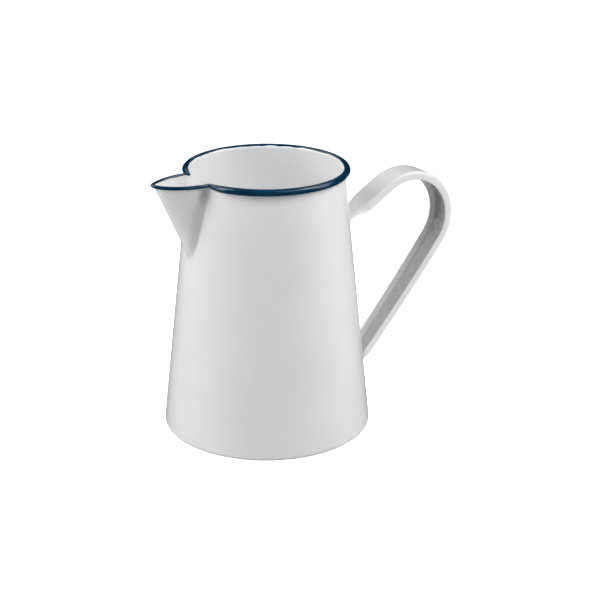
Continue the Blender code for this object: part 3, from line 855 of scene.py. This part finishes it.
def rounded_corner(before, corner, after, radius):
    """Points of the arc that rounds a corner of a path."""
    back, ahead = unit(before - corner), unit(after - corner)
    half_angle = math.acos(np.dot(back, ahead)) / 2
    centre = corner + unit(back + ahead) * radius / math.sin(half_angle)
    start = corner + back * radius / math.tan(half_angle) - centre
    end = corner + ahead * radius / math.tan(half_angle) - centre
    turn = math.acos(np.dot(start, end) / radius**2)
    return [
        centre + (math.sin((1 - s) * turn) * start + math.sin(s * turn) * end) / math.sin(turn)
        for s in np.linspace(0.0, 1.0, BEND_STEPS + 1)
    ]


def straight_run(start, end, steps, bow=0.0):
    """Points between two others, without the ends, bowed to the left of the way."""
    way = end - start
    side = unit(np.array((-way[1], way[0])))
    shares = [step / steps for step in range(1, steps)]
    return [start + way * share + side * 4 * bow * share * (1 - share) for share in shares]


def strap_width_at(height):
    """The strap is at its widest over the bow and narrows down the lower leg."""
    low, high = STRAP_TAPER_HEIGHTS
    share = min(max((height - low) / (high - low), 0.0), 1.0)
    return LOWER_STRAP_WIDTH + (STRAP_WIDTH - LOWER_STRAP_WIDTH) * share


def strap_path():
    """(x, z) of the convex face from the upper foot's end to the lower foot's end, and the turns."""
    upper_along = np.array((math.cos(UPPER_LEG_ANGLE), math.sin(UPPER_LEG_ANGLE)))
    lower_along = np.array((-math.cos(LOWER_LEG_ANGLE), -math.sin(LOWER_LEG_ANGLE)))
    bow_start = BOW_CENTRE + BOW_RADIUS * np.array((-upper_along[1], upper_along[0]))
    bow_end = BOW_CENTRE + BOW_RADIUS * np.array((-lower_along[1], lower_along[0]))
    upper_foot = wall_line(UPPER_FOOT_END, 0.0)
    lower_foot = wall_line(LOWER_FOOT_END, SHEET)
    upper_corner = meet(upper_foot, WALL_ALONG, bow_start, upper_along)
    lower_corner = meet(lower_foot, WALL_ALONG, bow_end, lower_along)
    upper_bend = rounded_corner(upper_foot, upper_corner, bow_start, UPPER_FOOT_BEND)
    lower_bend = rounded_corner(bow_end, lower_corner, lower_foot, LOWER_FOOT_BEND)
    first = UPPER_LEG_ANGLE + math.pi / 2
    last = LOWER_LEG_ANGLE - math.pi / 2
    bow = [
        BOW_CENTRE + BOW_RADIUS * np.array((math.cos(a), math.sin(a)))
        for a in np.linspace(first, last, BOW_STEPS + 1)
    ]
    upper = [upper_foot, *straight_run(upper_foot, upper_bend[0], UPPER_FOOT_STEPS), *upper_bend]
    middle = [*straight_run(upper_bend[-1], bow[0], UPPER_LEG_STEPS), *bow]
    middle += straight_run(bow[-1], lower_bend[0], LOWER_LEG_STEPS, LOWER_LEG_BOW)
    lower = [*lower_bend, *straight_run(lower_bend[-1], lower_foot, LOWER_FOOT_STEPS), lower_foot]
    path = np.array(upper + middle + lower)
    return path, len(upper) - 1, len(upper) + len(middle)


def strap_half_section(width, flange, wrap, width_scale):
    """(across, depth, slope) of half the convex face, middle to lip.

    Flange is how far the edges are turned, 0 to 1, and wrap the curvature that follows the wall.
    """
    fold = flange * math.pi / 2
    corner_step = STRAP_CORNER * math.pi / 2 / CORNER_STEPS
    lip = (FLANGE_DEPTH - STRAP_CORNER - SHEET / 2) * flange + LEAST_LIP
    slopes = [fold * (step + 0.5) / CORNER_STEPS for step in range(CORNER_STEPS)]
    turned_width = sum(corner_step * math.cos(slope) for slope in slopes) + lip * math.cos(fold)
    flat = width / 2 - turned_width - SHEET / 2 * math.cos(fold)
    points = [(flat * step / WEB_STEPS, 0.0, 0.0) for step in range(WEB_STEPS + 1)]
    across, depth = flat, 0.0
    for step, slope in enumerate(slopes):
        across += corner_step * math.cos(slope)
        depth += corner_step * math.sin(slope)
        points.append((across, depth, fold * (step + 1) / CORNER_STEPS))
    for run in (lip / 2, lip):
        points.append((across + run * math.cos(fold), depth + run * math.sin(fold), fold))
    bent = []
    for across, depth, slope in points:
        across *= width_scale
        bent.append((across, depth + wrap * across**2 / 2, slope + math.atan(wrap * across)))
    return bent


def lip_arc(start, end):
    """Half circle of points from start to end, without them, as (across, depth, web)."""
    middle = (np.array(start[:2]) + np.array(end[:2])) / 2
    spoke = np.array(start[:2]) - middle
    turned = np.array((-spoke[1], spoke[0]))
    angles = np.linspace(0.0, math.pi, LIP_STEPS + 1)[1:-1]
    return [(*(middle + spoke * math.cos(a) + turned * math.sin(a)), 0.0) for a in angles]


def web_share(slope):
    """1 on the channel's floor and 0 on its sides."""
    return max(math.cos(SHADE_CORNER_TURN * slope), 0.0) ** SHADE_CORNER_POWER


def strap_outline(half):
    """Closed outline of the strap's section, as (across, depth, web), with rounded lips.

    Web is 1 on the channel's floor and 0 on its sides, its lips and the outside.
    """
    full = [(-a, d, -s) for a, d, s in reversed(half[1:])] + half
    convex = [(a, d, 0.0) for a, d, _ in full]
    concave = [(a - SHEET * math.sin(s), d + SHEET * math.cos(s), web_share(s)) for a, d, s in full]
    right_lip = lip_arc(convex[-1], concave[-1])
    left_lip = lip_arc(concave[0], convex[0])
    return [*convex, *right_lip, *reversed(concave), *left_lip]


def press_spot_welds(vertices):
    """Shallow dents of the welding tips in the outer face of both feet."""
    normal = np.array((WALL_NORMAL[0], 0.0, WALL_NORMAL[1]))
    vertices = vertices.copy()
    for height in SPOT_HEIGHTS:
        for across in (-SPOT_SPACING / 2, SPOT_SPACING / 2):
            spot = np.array((math.sqrt(wall_radius(height) ** 2 - across**2), across, height))
            gap = vertices - spot
            proud = gap @ normal
            distance = np.linalg.norm(gap - proud[:, None] * normal, axis=1)
            share = 1.0 - smooth_step(distance / DENT_RADIUS)
            share[(proud < DENT_REACH[0]) | (proud > DENT_REACH[1])] = 0.0
            vertices -= share[:, None] * DENT_DEPTH * normal
    return vertices


def foot_form(from_upper, from_lower, from_end, height):
    """Flange, wrap and width scale of the strap, from the distances to its turns and its end."""
    nearest = min(from_upper, from_lower)
    near_upper = from_upper < from_lower
    run_out = UPPER_RUN_OUT if near_upper else LOWER_RUN_OUT
    flange = float(np.clip(nearest / run_out, 0.0, 1.0))
    on_foot = 1.0 - float(smooth_step((nearest + FOOT_WRAP_RUN) / FOOT_WRAP_RUN))
    wrap = on_foot / wall_radius(height) * (-1.0 if near_upper else 1.0)
    short = 1.0 - min(from_end / FOOT_ROUNDING, 1.0)
    width_scale = FOOT_END_WIDTH + (1.0 - FOOT_END_WIDTH) * math.sqrt(1.0 - short * short)
    return flange, wrap, width_scale


def channel_shade(point, across):
    """Painted shade on the channel's floor: darkest at one place on the bow, and to one side."""
    near = math.exp(-((np.linalg.norm(point - DARKEST_SHADE_POINT) / SHADE_REACH) ** 2))
    on_bow = float(np.clip(SHADE_ON_BOW + SHADE_LEAN * across / (STRAP_WIDTH / 2), 0.0, 1.0))
    return SHADE_ON_WEB + near * (on_bow - SHADE_ON_WEB)


def make_handle(enamel):
    path, upper_turn, lower_turn = strap_path()
    steps = np.linalg.norm(np.diff(path, axis=0), axis=1)
    lengths = np.concatenate([[0.0], np.cumsum(steps)])
    along = unit_rows(np.gradient(path, axis=0))
    inward = np.stack([along[:, 1], -along[:, 0]], 1)
    sections, shade_share = [], []
    for i, point in enumerate(path):
        from_upper = lengths[i] - lengths[upper_turn]
        from_lower = lengths[lower_turn] - lengths[i]
        from_end = min(lengths[i], lengths[-1] - lengths[i])
        flange, wrap, width_scale = foot_form(from_upper, from_lower, from_end, point[1])
        half = strap_half_section(strap_width_at(point[1]), flange, wrap, width_scale)
        section = []
        for across, depth, web in strap_outline(half):
            spot = point + inward[i] * depth
            section.append((spot[0], across, spot[1]))
            shade_share.append(web * flange * channel_shade(point, across))
        sections.append(section)
    vertices, faces = tube_solid(np.array(sections))
    nodes = ["handle_strap"]
    for level in ("upper", "lower"):
        for side in ("left", "right"):
            nodes.append(f"handle_{level}_spot_weld_{side}")
    handle = add_piece(
        "handle_enamel", press_spot_welds(vertices), faces, enamel, nodes, "white_enamel"
    )
    # Painted shade on the channel's floor
    set_attribute(handle, "painted_shade", shade_share)


# Studio


def make_camera():
    data = bpy.data.cameras.new("camera")
    data.lens = LENS
    data.sensor_width = SENSOR_WIDTH
    data.shift_x = SHIFT_X
    camera = bpy.data.objects.new("camera", data)
    bpy.context.scene.collection.objects.link(camera)
    tilt = math.pi / 2 - CAMERA_ELEVATION
    turn = Matrix.Rotation(CAMERA_AZIMUTH, 4, "Z") @ Matrix.Rotation(tilt, 4, "X")
    right = turn.to_3x3() @ Vector((1.0, 0.0, 0.0))
    back = turn.to_3x3() @ Vector((0.0, 0.0, 1.0))
    place = right * CAMERA_SIDE + Vector((0.0, 0.0, CAMERA_HEIGHT)) + back * CAMERA_DISTANCE
    camera.matrix_world = Matrix.Translation(place) @ turn
    bpy.context.scene.camera = camera


def add_stage_object(name, mesh, colour, emission, seen_by_camera):
    """Floor or backdrop: either what the camera sees or what bounces light onto the jug."""
    material = bpy.data.materials.new(name)
    material.use_nodes = True
    shader = material.node_tree.nodes["Principled BSDF"]
    shader.inputs["Base Color"].default_value = (colour, colour, colour, 1.0)
    shader.inputs["Roughness"].default_value = 1.0
    shader.inputs["Specular IOR Level"].default_value = 0.0
    shader.inputs["Emission Color"].default_value = (1.0, 1.0, 1.0, 1.0)
    shader.inputs["Emission Strength"].default_value = emission
    mesh.materials.append(material)
    item = bpy.data.objects.new(name, mesh)
    bpy.context.scene.collection.objects.link(item)
    item.visible_camera = seen_by_camera
    item.visible_diffuse = not seen_by_camera
    item.visible_glossy = False
    item.visible_shadow = False


def mesh_from(name, bm):
    mesh = bpy.data.meshes.new(name)
    bm.to_mesh(mesh)
    bm.free()
    return mesh


def disc_mesh(name, radius, height):
    bm = bmesh.new()
    bmesh.ops.create_circle(bm, cap_ends=True, segments=96, radius=radius)
    bmesh.ops.translate(bm, vec=(0.0, 0.0, height), verts=bm.verts)
    return mesh_from(name, bm)


def dome_mesh(name, radius):
    bm = bmesh.new()
    bmesh.ops.create_uvsphere(bm, u_segments=48, v_segments=24, radius=radius)
    return mesh_from(name, bm)


def make_stage():
    floor = disc_mesh("floor", FLOOR_SIZE, 0.0)
    bounce = disc_mesh("floor_bounce", FLOOR_SIZE, BOUNCE_LEVEL)
    backdrop = dome_mesh("backdrop", BACKDROP_SIZE)
    add_stage_object("floor", floor, FLOOR_SHADE, FLOOR_GLOW, seen_by_camera=True)
    add_stage_object("floor_bounce", bounce, BOUNCE_SHADE, 0.0, seen_by_camera=False)
    add_stage_object("backdrop", backdrop, 0.0, 1.0, seen_by_camera=True)


def add_softbox(name, turn, elevation, size, radiance, distance=SOFTBOX_DISTANCE, target=JUG_MIDDLE):
    """Softbox aimed at the target; turn is the angle from the camera, to the right."""
    data = bpy.data.lights.new(name, "AREA")
    data.shape = "RECTANGLE"
    data.size, data.size_y = size
    data.energy = radiance * math.pi * size[0] * size[1]
    light = bpy.data.objects.new(name, data)
    bpy.context.scene.collection.objects.link(light)
    azimuth = CAMERA_AZIMUTH - math.pi / 2 + math.radians(turn)
    lift = math.radians(elevation)
    flat = math.cos(lift)
    toward = Vector((flat * math.cos(azimuth), flat * math.sin(azimuth), math.sin(lift)))
    light.location = Vector(target) + toward * distance
    light.rotation_euler = toward.to_track_quat("Z", "Y").to_euler()
    return light


def make_lights():
    """Softboxes round the jug, and a narrow beam into its mouth that leaves no glint on the rim."""
    for softbox in SOFTBOXES:
        add_softbox(*softbox)
    mouth = add_softbox(*MOUTH_LIGHT, distance=MOUTH_LIGHT_DISTANCE, target=MOUTH_MIDDLE)
    mouth.data.spread = MOUTH_LIGHT_SPREAD
    mouth.visible_glossy = False


def make_world():
    """Dark surroundings: all the light comes from the softboxes and what they bounce off."""
    world = bpy.data.worlds.new("studio")
    world.use_nodes = True
    background = world.node_tree.nodes["Background"]
    background.inputs["Color"].default_value = (1.0, 1.0, 1.0, 1.0)
    background.inputs["Strength"].default_value = 0.0
    bpy.context.scene.world = world


make_camera()
make_stage()
make_lights()
make_world()
bpy.context.scene.view_settings.view_transform = "Standard"

white = white_enamel()
blue = blue_enamel()
make_body_and_spout(white)
make_base(white)
make_rim(blue)
make_hem(blue)
make_handle(white)
steel = bare_steel()
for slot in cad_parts["rim_wire"].material_slots:
    slot.material = steel
